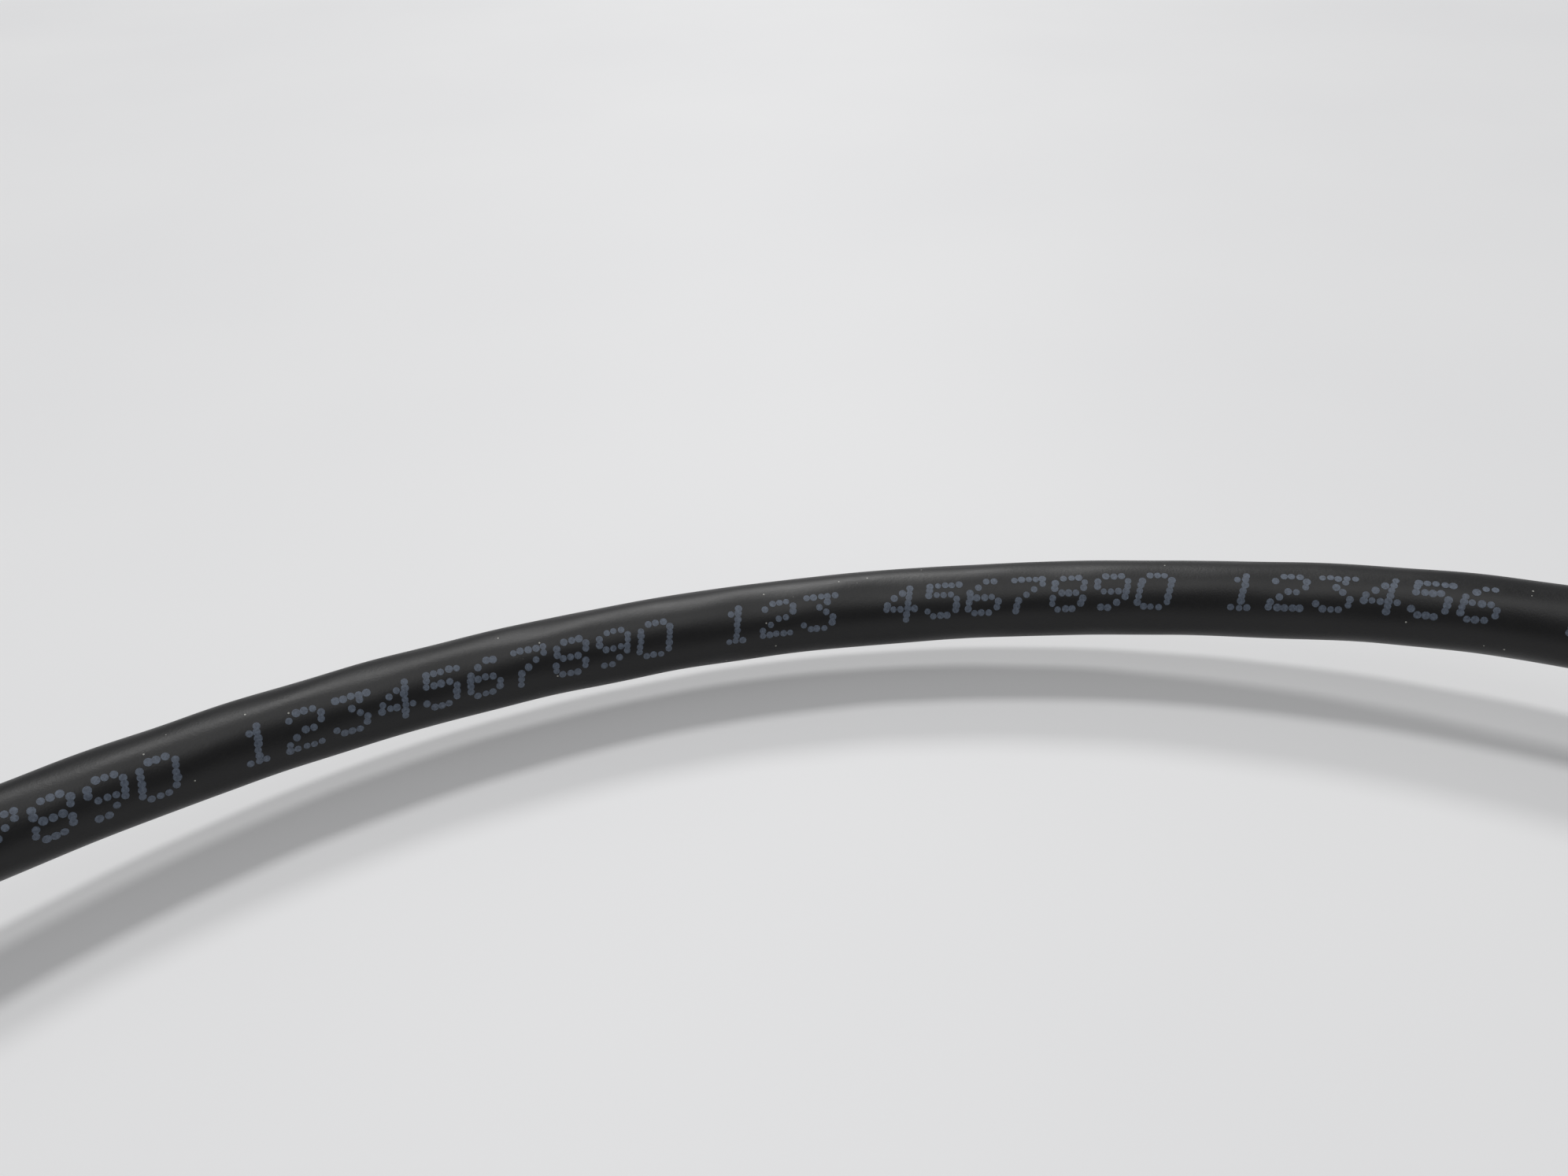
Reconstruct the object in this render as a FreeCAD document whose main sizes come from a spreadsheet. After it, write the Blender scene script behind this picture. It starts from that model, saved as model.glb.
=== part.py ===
import FreeCAD, Part
import math
import os
import re
import Sketcher

# A five core sensor cable in a loop on a table, with an M12 socket moulded on one end and an
# M12 plug on the other. Millimetres, +Z up, the table at Z = 0. The connectors lie side by side
# with their mating faces towards -X, where nothing is in the way of what they plug into.
# Each connector is drawn from its mating face backwards: depth 0 is the face, and the depth
# grows along +X towards the cable.

doc = FreeCAD.newDocument("cordset")

# Driving sizes
SIZES = {
    "jacket_dia": 5.2,
    "core_dia": 1.1,
    "core_gap": 0.1,
    "wire_dia": 0.75,
    "axis_offset": 12.0,
    "ring_wall": 1.25,
    "ring_chamfer": 0.6,
    "knurl_count": 24,
    "knurl_depth": 0.35,
    "knurl_tool_dia": 1.2,
    "thread_dia": 12.0,
    "thread_depth": 0.55,
    "thread_length": 6.5,
    "thread_lead": 0.5,
    "thread_relief_length": 1.0,
    "thread_relief_depth": 0.7,
    "nut_recess": 0.5,
    "screw_recess": 1.0,
    "screw_wall": 0.25,
    "collar_clearance": 0.08,
    "collar_float": 0.3,
    "collar_length": 2.4,
    "nose_clearance": 0.2,
    "nose_length": 9.0,
    "nose_chamfer": 0.3,
    "flange_clearance": 0.25,
    "flange_length": 1.6,
    "shroud_clearance": 0.15,
    "shroud_wall": 0.65,
    "shroud_chamfer": 0.2,
    "shroud_depth": 8.5,
    "shroud_length": 12.0,
    "key_width": 1.4,
    "key_height": 0.85,
    "key_clearance": 0.1,
    "key_recess": 0.8,
    "stem_step": 0.4,
    "stem_grip": 2.2,
    "contact_circle_dia": 5.0,
    "contact_dia": 1.7,
    "contact_neck_dia": 1.2,
    "contact_collar_length": 1.2,
    "contact_sleeve_length": 8.0,
    "contact_end_gap": 0.1,
    "socket_bore_dia": 1.02,
    "socket_bore_floor": 0.6,
    "entry_dia": 1.1,
    "entry_wall": 0.8,
    "pin_dia": 1.0,
    "pin_tip_chamfer": 0.25,
    "pin_recess": 1.2,
    "pin_root_dia": 1.4,
    "pin_root_length": 0.3,
    "barrel_length": 5.5,
    "barrel_overhang": 4.5,
    "crimp_depth": 2.6,
    "crimp_clearance": 0.03,
    "core_run": 8.5,
    "core_lead": 1.8,
    "bundle_length": 3.8,
    "jacket_grip": 2.0,
    "inner_mould_step": 0.2,
    "mould_gap": 0.5,
    "mould_dia": 12.6,
    "mould_nose": 0.6,
    "mould_fit": 0.02,
    "flute_count": 8,
    "flute_dia": 3.6,
    "flute_depth": 0.55,
    "flute_setback": 2.4,
    "key_mark_width": 1.2,
    "key_mark_length": 4.5,
    "key_mark_height": 0.35,
    "key_root": 0.4,
    "shoulder_length": 2.6,
    "relief_root_dia": 9.4,
    "relief_tip_dia": 7.2,
    "relief_wall": 0.45,
    "slot_width": 1.15,
    "slot_pitch": 2.4,
    "slot_count": 2,
    "seal_section_dia": 1.0,
    "seal_seat_depth": 0.2,
    "cut_overlap": 0.1,
    "socket_length": 44.0,
    "plug_length": 48.0,
}

# Sizes that follow from them, each inside or outside another by a wall or a clearance
DERIVED = {
    "ring_dia": "thread_dia + 2 * ring_wall",
    "thread_bore_dia": "thread_dia - 2 * thread_depth",
    "flange_dia": "thread_bore_dia - 2 * flange_clearance",
    "screw_bore_dia": "thread_dia - 2 * thread_relief_depth - 2 * screw_wall",
    "shroud_dia": "screw_bore_dia - 2 * shroud_clearance",
    "shroud_bore_dia": "shroud_dia - 2 * shroud_wall",
    "nose_dia": "shroud_bore_dia - 2 * nose_clearance",
    "seal_seat_dia": "nose_dia - 2 * seal_seat_depth",
    "seal_seat_length": "seal_section_dia + 4 * mould_fit",
    "stem_dia": "shroud_dia - 2 * stem_step",
    "inner_mould_dia": "stem_dia - 2 * inner_mould_step",
}

sheet = doc.addObject("Spreadsheet::Sheet", "Sizes")
for row, (alias, number) in enumerate(SIZES.items(), start=1):
    sheet.set(f"A{row}", alias)
    sheet.set(f"B{row}", str(number))
    sheet.setAlias(f"B{row}", alias)
doc.recompute()

# The five conductor places of the plug: the angle of each core in the cable and of its contact
# in the connector. The fifth contact stands on the axis. The socket has them mirrored.
CORE_ANGLES = (126, 54, 342, 198, 270)
CONTACT_ANGLES = (135, 45, 315, 225)


def value(alias):
    """A driving size, as a number."""
    return float(sheet.get(alias))


def axis_height():
    """Both connectors lie on their coupling rings, so their axes are a ring's radius up."""
    return value("thread_dia") / 2 + value("ring_wall")


def bound(text):
    """Formula text in size names, as an expression on the sheet."""
    for alias in reversed(DERIVED):
        text = re.sub(rf"\b{alias}\b", f"({DERIVED[alias]})", text)
    return re.sub(r"\b(" + "|".join(SIZES) + r")\b", r"Sizes.\1", text)


def bind(thing, path, text):
    thing.setExpression(path, bound(text))


class End:
    """One connector: its name, the side that it lies on, and its depths as formulas."""

    def __init__(self, name, side, stem_front):
        self.name = name
        self.side = side
        self.length = f"{name}_length"
        self.stem_front = stem_front
        self.collar_front = f"{stem_front} + collar_float"
        self.ring_rear = f"{self.collar_front} + collar_length"
        self.mould_front = f"{self.ring_rear} + mould_gap"
        self.stem_rear = f"{self.mould_front} + stem_grip"
        self.barrel_rear = f"{self.stem_rear} + barrel_overhang"
        self.jacket_end = f"{self.barrel_rear} + core_run"
        self.inner_rear = f"{self.jacket_end} + jacket_grip"
        self.relief_root = f"{self.jacket_end} + shoulder_length"

    def place(self, thing, across="0", up="0"):
        """Puts a piece drawn in the connector's own depths where the connector lies."""
        bind(thing, "Placement.Base.x", f"-{self.length} / 2")
        bind(thing, "Placement.Base.y", f"{self.side} * (axis_offset - ({across}))")
        bind(thing, "Placement.Base.z", f"ring_dia / 2 + {up}")

    def depth(self, formula):
        """A depth formula made of sums, as a number."""
        return sum(value(term.strip()) for term in formula.split("+"))

    def world(self, depth, across=0.0, up=0.0):
        """A point of the connector in the part's frame."""
        along = depth - value(self.length) / 2
        return FreeCAD.Vector(along, self.side * (value("axis_offset") - across), axis_height() + up)


SOCKET = End("socket", 1, "nose_length + flange_length")
PLUG = End("plug", -1, "shroud_length")


# Sketching on a body's own planes

def new_body(label):
    body = doc.addObject("PartDesign::Body", label)
    body.Label = label
    return body


def new_sketch(body, name, role, setback=None):
    sketch = body.newObject("Sketcher::SketchObject", name)
    plane = [item for item in body.Origin.OriginFeatures if item.Role == role][0]
    sketch.AttachmentSupport = [(plane, "")]
    sketch.MapMode = "FlatFace"
    if setback:
        bind(sketch, "AttachmentOffset.Base.z", setback)
    return sketch


def pin_point(sketch, edge, end, across, up):
    """Fixes one point of a sketch at two formulas from the sketch's origin."""
    point = sketch.getPoint(edge, end)
    for kind, start, text in (("DistanceX", point.x, across), ("DistanceY", point.y, up)):
        number = sketch.addConstraint(Sketcher.Constraint(kind, -1, 1, edge, end, float(start)))
        bind(sketch, f"Constraints[{number}]", text)


def outline(sketch, corners):
    """A closed outline whose corners are pairs of formulas. It is drawn as a regular polygon first,
    and its formulas then move each corner to its place."""
    first = len(sketch.Geometry)
    count = len(corners)
    spots = []
    for i in range(count):
        turn = 2 * math.pi * i / count
        spots.append(FreeCAD.Vector(30 + 9 * math.cos(turn), 30 - 9 * math.sin(turn), 0))
    for i in range(count):
        sketch.addGeometry(Part.LineSegment(spots[i], spots[(i + 1) % count]), False)
    for i in range(count):
        sketch.addConstraint(Sketcher.Constraint("Coincident", first + i, 2, first + (i + 1) % count, 1))
    for i, (across, up) in enumerate(corners):
        pin_point(sketch, first + i, 1, across, up)


def circle(sketch, diameter, across, up):
    """A circle with its diameter and centre as formulas."""
    edge = sketch.addGeometry(Part.Circle(FreeCAD.Vector(1, 1, 0), FreeCAD.Vector(0, 0, 1), 1), False)
    number = sketch.addConstraint(Sketcher.Constraint("Diameter", edge, 2.0))
    bind(sketch, f"Constraints[{number}]", diameter)
    pin_point(sketch, edge, 3, across, up)


def revolve(body, corners):
    """Turns a half outline, in depth and radius, about the connector's axis."""
    sketch = new_sketch(body, "Profile", "XY_Plane")
    outline(sketch, corners)
    turned = body.newObject("PartDesign::Revolution", "Turned")
    turned.Profile = sketch
    turned.ReferenceAxis = (sketch, ["H_Axis"])
    turned.Angle = 360


def pocket(body, sketch, length=None):
    """Cuts a sketch towards the cable, by a length or right through."""
    cut = body.newObject("PartDesign::Pocket", sketch.Name + "Cut")
    cut.Profile = sketch
    cut.Reversed = True
    if length:
        cut.Type = 0
        bind(cut, "Length", length)
    else:
        cut.Type = 1
    return cut


def pad(body, sketch, length):
    """Adds a sketch towards the cable."""
    added = body.newObject("PartDesign::Pad", sketch.Name + "Pad")
    added.Profile = sketch
    bind(added, "Length", length)
    return added


def polar(body, feature, sketch, count):
    """Repeats a feature round the connector's axis."""
    pattern = body.newObject("PartDesign::PolarPattern", feature.Name + "Ring")
    pattern.Originals = [feature]
    pattern.Axis = (sketch, ["N_Axis"])
    pattern.Angle = 360
    bind(pattern, "Occurrences", count)
    body.Tip = pattern


def contact_places():
    """The five contacts' centres across and up, as formulas."""
    ring = [(f"contact_circle_dia / 2 * cos({angle})", f"contact_circle_dia / 2 * sin({angle})")
            for angle in CONTACT_ANGLES]
    return ring + [("0", "0")]


def contact_holes(body, name, diameter, setback, length):
    """Five holes, one for each contact, from a depth towards the cable."""
    sketch = new_sketch(body, name, "YZ_Plane", setback)
    for across, up in contact_places():
        circle(sketch, diameter, across, up)
    pocket(body, sketch, length)


# Routes of straight runs joined by tangent arcs

def rounded_path(points):
    """A wire along the points with each corner rounded, and the radii of its arcs."""
    edges = []
    radii = []
    start = points[0]
    for before, corner, after in zip(points, points[1:], points[2:]):
        back = before - corner
        ahead = after - corner
        cut = 0.45 * min(back.Length, ahead.Length)
        back.normalize()
        ahead.normalize()
        half_turn = (math.pi - back.getAngle(ahead)) / 2
        radius = cut / math.tan(half_turn)
        inward = back + ahead
        inward.normalize()
        middle = corner + inward * (radius / math.cos(half_turn) - radius)
        edges.append(Part.LineSegment(start, corner + back * cut).toShape())
        edges.append(Part.Arc(corner + back * cut, middle, corner + ahead * cut).toShape())
        radii.append(radius)
        start = corner + ahead * cut
    edges.append(Part.LineSegment(start, points[-1]).toShape())
    return Part.Wire(edges), radii


def round_tube(points, diameter):
    """A solid round tube along a route."""
    path, radii = rounded_path(points)
    section = Part.Wire(Part.Circle(points[0], points[1] - points[0], diameter / 2).toShape())
    return path.makePipe(Part.Face(section)), path.Length, radii


def shaped(label, shape):
    """A piece whose shape is swept by code."""
    piece = doc.addObject("Part::Feature", label)
    piece.Label = label
    piece.Shape = shape
    return piece


# Cable: a plain tube from one jacket end, inside the socket's mould, round the loop to the other

def cable_route():
    height = axis_height()
    beside = value("axis_offset")
    free_points = [
        (34.0, beside, height),
        (54.5, 28.0, 5.8),
        (66.0, 60.0, 3.4),
        (84.0, 82.0, 2.8),
        (108.0, 90.5, 3.0),
        (131.0, 84.0, 5.4),
        (157.0, 66.0, 8.0),
        (178.0, 40.0, 4.2),
        (187.5, 9.0, 2.9),
        (184.5, -22.0, 3.6),
        (171.0, -50.0, 7.4),
        (148.0, -73.0, 7.4),
        (121.0, -86.0, 4.4),
        (98.0, -91.0, 2.9),
        (76.0, -80.0, 2.8),
        (62.0, -55.0, 3.4),
        (54.0, -27.0, 5.8),
        (34.0, -beside, height),
    ]
    first = SOCKET.world(SOCKET.depth(SOCKET.jacket_end))
    last = PLUG.world(PLUG.depth(PLUG.jacket_end))
    return [first] + [FreeCAD.Vector(*point) for point in free_points] + [last]


def build_cable():
    diameter = value("jacket_dia")
    tube, length, radii = round_tube(cable_route(), diameter)
    section = math.pi * diameter ** 2 / 4
    print("cable length", round(length, 1), "volume share", round(tube.Volume / section / length, 5))
    print("cable radii", [round(radius) for radius in radii])
    shaped("cable", tube)


# Contact carriers: nose or shroud in front, stem into the mould behind

def build_socket_insert():
    body = new_body("socket_insert")
    nose = "nose_dia / 2"
    flange = "flange_dia / 2"
    stem = "stem_dia / 2"
    revolve(body, [
        ("0", "0"), ("0", f"{nose} - nose_chamfer"), ("nose_chamfer", nose),
        ("nose_length - seal_seat_length", nose), ("nose_length - seal_seat_length", "seal_seat_dia / 2"),
        ("nose_length", "seal_seat_dia / 2"), ("nose_length", flange), (SOCKET.stem_front, flange),
        (SOCKET.stem_front, stem), (SOCKET.stem_rear, stem), (SOCKET.stem_rear, "0")])
    contact_holes(body, "EntryHoles", "entry_dia", "0", "entry_wall + cut_overlap")
    contact_holes(body, "ContactHoles", "contact_dia + 2 * mould_fit", "entry_wall", SOCKET.stem_rear)
    keyway = new_sketch(body, "Keyway", "YZ_Plane")
    side = "key_width / 2 + key_clearance"
    floor = "shroud_bore_dia / 2 - key_height - key_clearance"
    outline(keyway, [
        (f"-({side})", floor), (f"-({side})", "nose_dia"), (side, "nose_dia"), (side, floor)])
    pocket(body, keyway, "shroud_depth - key_recess")
    SOCKET.place(body)


def build_plug_insert():
    body = new_body("plug_insert")
    outside = "shroud_dia / 2"
    inside = "shroud_bore_dia / 2"
    stem = "stem_dia / 2"
    revolve(body, [
        ("0", inside), ("0", f"{outside} - shroud_chamfer"), ("shroud_chamfer", outside),
        (PLUG.stem_front, outside), (PLUG.stem_front, stem), (PLUG.stem_rear, stem), (PLUG.stem_rear, "0"),
        ("shroud_depth", "0"), ("shroud_depth", inside)])
    key = new_sketch(body, "Key", "YZ_Plane", "key_recess")
    side = "key_width / 2"
    outline(key, [
        (f"-{side}", f"{inside} - key_height"), (f"-{side}", f"{inside} + key_root"),
        (side, f"{inside} + key_root"), (side, f"{inside} - key_height")])
    pad(body, key, "shroud_depth - key_recess + cut_overlap")
    contact_holes(
        body, "EntryHoles", "pin_root_dia + 2 * mould_fit", "shroud_depth - cut_overlap",
        "entry_wall + 2 * cut_overlap")
    contact_holes(
        body, "ContactHoles", "contact_dia + 2 * mould_fit", "shroud_depth + entry_wall", PLUG.stem_rear)
    PLUG.place(body)


# Contacts: turned from brass rod, with a crimp barrel behind

def build_contacts(end, front, head):
    """Five contacts. The head outline ends at the contact's full radius, at the depth front."""
    full = "contact_dia / 2"
    neck = "contact_neck_dia / 2"
    hole = "wire_dia / 2 + crimp_clearance"
    barrel_front = f"{end.barrel_rear} - barrel_length"
    crimp_front = f"{end.barrel_rear} - crimp_depth"
    tail = [
        (front, full), (front, neck), (f"{barrel_front} - contact_collar_length", neck),
        (f"{barrel_front} - contact_collar_length", full), (end.barrel_rear, full), (end.barrel_rear, hole),
        (crimp_front, hole), (crimp_front, "0")]
    name = "contact" if end is SOCKET else "pin"
    for number, (across, up) in enumerate(contact_places(), start=1):
        body = new_body(f"{end.name}_{name}_{number}")
        revolve(body, head + tail)
        end.place(body, across, up)


def build_socket_contacts():
    front = "entry_wall + contact_end_gap"
    bore = "socket_bore_dia / 2"
    sleeve_rear = f"{front} + contact_sleeve_length"
    build_contacts(SOCKET, sleeve_rear, [
        (f"{sleeve_rear} - socket_bore_floor", "0"), (f"{sleeve_rear} - socket_bore_floor", bore),
        (front, bore), (front, "contact_dia / 2")])


def build_plug_pins():
    shoulder = "shroud_depth + entry_wall + contact_end_gap"
    root_front = "shroud_depth - pin_root_length"
    radius = "pin_dia / 2"
    build_contacts(PLUG, f"{shoulder} + contact_collar_length", [
        ("pin_recess", "0"), ("pin_recess", f"{radius} - pin_tip_chamfer"),
        ("pin_recess + 2 * pin_tip_chamfer", radius), (root_front, radius),
        (root_front, "pin_root_dia / 2"), (shoulder, "pin_root_dia / 2"), (shoulder, "contact_dia / 2")])


# Cores: from the cable's bundle of five, spread to their contacts, with the bare wire crimped in

def core_points(end, number):
    """The route of one core inside its connector, from its contact to the jacket's end."""
    turned = math.radians(CORE_ANGLES[number])
    pitch = (value("core_dia") + value("core_gap")) / 2 / math.sin(math.pi / len(CORE_ANGLES))
    bundle = (pitch * math.cos(turned), pitch * math.sin(turned))
    at_contact = (0.0, 0.0)
    if number < len(CONTACT_ANGLES):
        angle = math.radians(CONTACT_ANGLES[number])
        ring = value("contact_circle_dia") / 2
        at_contact = (ring * math.cos(angle), ring * math.sin(angle))
    front = end.depth(end.barrel_rear)
    rear = end.depth(end.jacket_end)
    lead = value("core_lead")
    return [end.world(front, *at_contact), end.world(front + lead, *at_contact),
            end.world(rear - lead, *bundle), end.world(rear, *bundle)]


def build_cores(end):
    for number in range(len(CORE_ANGLES)):
        points = core_points(end, number)
        shaped(f"{end.name}_core_{number + 1}", round_tube(points, value("core_dia"))[0])
        into_barrel = points[0] - points[1]
        wire = Part.makeCylinder(value("wire_dia") / 2, value("crimp_depth"), points[0], into_barrel)
        shaped(f"{end.name}_wire_{number + 1}", wire)


# Inner moulds: hard blocks round the crimp barrels, the spread cores and the jacket's end

def build_inner_mould(end):
    body = new_body(f"{end.name}_inner_blank")
    outside = "inner_mould_dia / 2"
    bore = "jacket_dia / 2 + mould_fit"
    pocket_front = f"{end.jacket_end} - bundle_length"
    revolve(body, [
        (end.stem_rear, "0"), (end.stem_rear, outside), (end.inner_rear, outside), (end.inner_rear, bore),
        (pocket_front, bore), (pocket_front, "0")])
    contact_holes(body, "BarrelHoles", "contact_dia + 2 * mould_fit", end.stem_rear, "barrel_overhang")
    end.place(body)
    fat = value("core_dia") + 2 * value("mould_fit")
    channels = shaped(f"{end.name}_core_channels", Part.makeCompound(
        [round_tube(core_points(end, number), fat)[0] for number in range(len(CORE_ANGLES))]))
    cut = doc.addObject("Part::Cut", f"{end.name}_inner_mould")
    cut.Label = f"{end.name}_inner_mould"
    cut.Base = body
    cut.Tool = channels


# Overmoulds: the soft grip with its flutes and key mark, and the slotted strain relief

def relief_slots(body, name, role, first):
    """A row of slots cut from both sides, that leaves two spines along the strain relief."""
    sketch = new_sketch(body, name, role)
    near = "jacket_dia / 2 + relief_wall"
    far = "relief_root_dia"
    rear = f"{first} + slot_width"
    outline(sketch, [(first, near), (first, far), (rear, far), (rear, near)])
    outline(sketch, [(first, f"-({near})"), (rear, f"-({near})"), (rear, f"-{far}"), (first, f"-{far}")])
    cut = body.newObject("PartDesign::Pocket", name + "Cut")
    cut.Profile = sketch
    cut.Type = 0
    cut.Midplane = True
    bind(cut, "Length", "2 * relief_root_dia")
    row = body.newObject("PartDesign::LinearPattern", name + "Row")
    row.Originals = [cut]
    row.Direction = (sketch, ["H_Axis"])
    bind(row, "Length", "2 * slot_pitch * (slot_count - 1)")
    bind(row, "Occurrences", "slot_count")
    body.Tip = row


def build_overmould(end):
    body = new_body(f"{end.name}_overmould")
    outside = "mould_dia / 2"
    on_stem = "stem_dia / 2 + mould_fit"
    on_inner = "inner_mould_dia / 2 + mould_fit"
    on_jacket = "jacket_dia / 2 + mould_fit"
    revolve(body, [
        (end.mould_front, on_stem), (end.mould_front, f"{outside} - mould_nose"),
        (f"{end.mould_front} + mould_nose", outside), (end.jacket_end, outside),
        (end.relief_root, "relief_root_dia / 2"), (end.length, "relief_tip_dia / 2"),
        (end.length, on_jacket), (end.inner_rear, on_jacket), (end.inner_rear, on_inner),
        (end.stem_rear, on_inner), (end.stem_rear, on_stem)])
    mark = new_sketch(body, "KeyMark", "YZ_Plane", f"{end.mould_front} + mould_nose")
    outline(mark, [
        ("-key_mark_width / 2", f"{outside} - key_root"),
        ("-key_mark_width / 2", f"{outside} + key_mark_height"),
        ("key_mark_width / 2", f"{outside} + key_mark_height"),
        ("key_mark_width / 2", f"{outside} - key_root")])
    pad(body, mark, "key_mark_length")
    flute = new_sketch(body, "Flute", "YZ_Plane", f"{end.mould_front} + flute_setback")
    reach = f"({outside} + flute_dia / 2 - flute_depth)"
    circle(flute, "flute_dia", f"{reach} * sin(180 / flute_count)", f"{reach} * cos(180 / flute_count)")
    cut = pocket(body, flute, f"{end.jacket_end} - ({end.mould_front} + flute_setback) - mould_nose")
    polar(body, cut, flute, "flute_count")
    first = f"{end.relief_root} + slot_width"
    relief_slots(body, "SideSlot", "XY_Plane", first)
    relief_slots(body, "TopSlot", "XZ_Plane", f"{first} + slot_pitch")
    end.place(body)


# Coupling rings: the knurled nut of the socket and the knurled screw of the plug

def knurl(body, front):
    """Straight flutes along the ring, with a ridge left at its lowest line."""
    sketch = new_sketch(body, "Knurl", "YZ_Plane", front)
    reach = "(ring_dia / 2 + knurl_tool_dia / 2 - knurl_depth)"
    half_step = "180 / knurl_count"
    circle(sketch, "knurl_tool_dia", f"{reach} * sin({half_step})", f"{reach} * cos({half_step})")
    polar(body, pocket(body, sketch), sketch, "knurl_count")


def build_coupling_nut():
    body = new_body("socket_coupling_nut")
    outside = "ring_dia / 2"
    bore = "thread_bore_dia / 2"
    collar = "stem_dia / 2 + collar_clearance"
    revolve(body, [
        ("nut_recess", f"{bore} + thread_lead"), ("nut_recess", f"{outside} - ring_chamfer"),
        ("nut_recess + ring_chamfer", outside), (f"{SOCKET.ring_rear} - ring_chamfer", outside),
        (SOCKET.ring_rear, f"{outside} - ring_chamfer"), (SOCKET.ring_rear, collar),
        (SOCKET.collar_front, collar), (SOCKET.collar_front, bore), ("nut_recess + thread_lead", bore)])
    knurl(body, "nut_recess - cut_overlap")
    SOCKET.place(body)


def build_coupling_screw():
    body = new_body("plug_coupling_screw")
    outside = "ring_dia / 2"
    thread = "thread_dia / 2"
    bore = "screw_bore_dia / 2"
    collar = "stem_dia / 2 + collar_clearance"
    thread_rear = "screw_recess + thread_length"
    grip_front = f"{thread_rear} + thread_relief_length"
    revolve(body, [
        ("screw_recess", bore), ("screw_recess", f"{thread} - thread_lead"),
        ("screw_recess + thread_lead", thread), (thread_rear, thread),
        (thread_rear, f"{thread} - thread_relief_depth"), (grip_front, f"{thread} - thread_relief_depth"),
        (grip_front, f"{outside} - ring_chamfer"), (f"{grip_front} + ring_chamfer", outside),
        (f"{PLUG.ring_rear} - ring_chamfer", outside), (PLUG.ring_rear, f"{outside} - ring_chamfer"),
        (PLUG.ring_rear, collar), (PLUG.collar_front, collar), (PLUG.collar_front, bore)])
    knurl(body, grip_front)
    PLUG.place(body)


# Seal: a round ring on the nose, against the flange

def build_seal_ring():
    ring = doc.addObject("Part::Torus", "socket_seal_ring")
    ring.Label = "socket_seal_ring"
    bind(ring, "Radius1", "seal_seat_dia / 2 + seal_section_dia / 2 + mould_fit")
    bind(ring, "Radius2", "seal_section_dia / 2")
    ring.Placement = FreeCAD.Placement(FreeCAD.Vector(), FreeCAD.Rotation(FreeCAD.Vector(0, 1, 0), 90))
    bind(ring, "Placement.Base.x", "nose_length - seal_seat_length / 2 - socket_length / 2")
    bind(ring, "Placement.Base.y", "axis_offset")
    bind(ring, "Placement.Base.z", "ring_dia / 2")


# Assembly

build_cable()
build_socket_insert()
build_plug_insert()
build_socket_contacts()
build_plug_pins()
for connector in (SOCKET, PLUG):
    build_cores(connector)
    build_inner_mould(connector)
    build_overmould(connector)
build_coupling_nut()
build_coupling_screw()
build_seal_ring()
doc.recompute()

PIECES = ["cable", "socket_insert", "plug_insert", "socket_coupling_nut", "plug_coupling_screw"]
PIECES.append("socket_seal_ring")
for connector, contact in ((SOCKET, "contact"), (PLUG, "pin")):
    PIECES += [f"{connector.name}_inner_mould", f"{connector.name}_overmould"]
    for place in range(1, len(CORE_ANGLES) + 1):
        PIECES += [f"{connector.name}_{piece}_{place}" for piece in (contact, "core", "wire")]

for item in doc.Objects:
    if "Invalid" in item.State or "Error" in item.State:
        raise RuntimeError(f"{item.Label} failed: {item.State}")

os.makedirs("parts", exist_ok=True)
for label in PIECES:
    solid = doc.getObjectsByLabel(label)[0].Shape
    if solid.isNull() or not solid.isValid() or len(solid.Solids) != 1:
        raise RuntimeError(f"{label} isn't one valid solid")
for label in PIECES:
    doc.getObjectsByLabel(label)[0].Shape.exportStep(f"parts/{label}.step")
print(len(PIECES), "pieces written")
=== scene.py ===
import math
import random
import bmesh
import bpy
from mathutils import Matrix, Vector, noise


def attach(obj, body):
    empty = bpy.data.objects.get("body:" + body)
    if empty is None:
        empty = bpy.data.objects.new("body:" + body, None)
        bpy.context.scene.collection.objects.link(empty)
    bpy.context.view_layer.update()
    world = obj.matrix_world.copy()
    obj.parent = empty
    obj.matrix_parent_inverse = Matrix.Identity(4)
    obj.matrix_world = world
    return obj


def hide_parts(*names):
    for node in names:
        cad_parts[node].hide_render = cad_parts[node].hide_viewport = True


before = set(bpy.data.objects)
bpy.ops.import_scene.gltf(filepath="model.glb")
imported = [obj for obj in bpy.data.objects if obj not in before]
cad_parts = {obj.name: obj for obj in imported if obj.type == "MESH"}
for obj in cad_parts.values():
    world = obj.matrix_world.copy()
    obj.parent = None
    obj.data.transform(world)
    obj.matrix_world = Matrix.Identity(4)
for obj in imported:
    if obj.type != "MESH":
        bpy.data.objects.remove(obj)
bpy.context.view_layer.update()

# Cable
# Five twisted cores in one extruded jacket of black polyurethane, 5.2 mm across. It leaves the
# socket's strain relief, lies in one loose loop and goes back into the plug's.
MM = 0.001
JACKET_DIAMETER = 5.2 * MM
CORE_LAY = 46 * MM
CORE_COUNT = 5
LOBE_HEIGHT = 0.012 * MM
DENT_HEIGHT = 0.07 * MM
DENT_LENGTH = 5.0 * MM
RING_STEP = 0.5 * MM
JACKET_SIDES = 56
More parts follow.
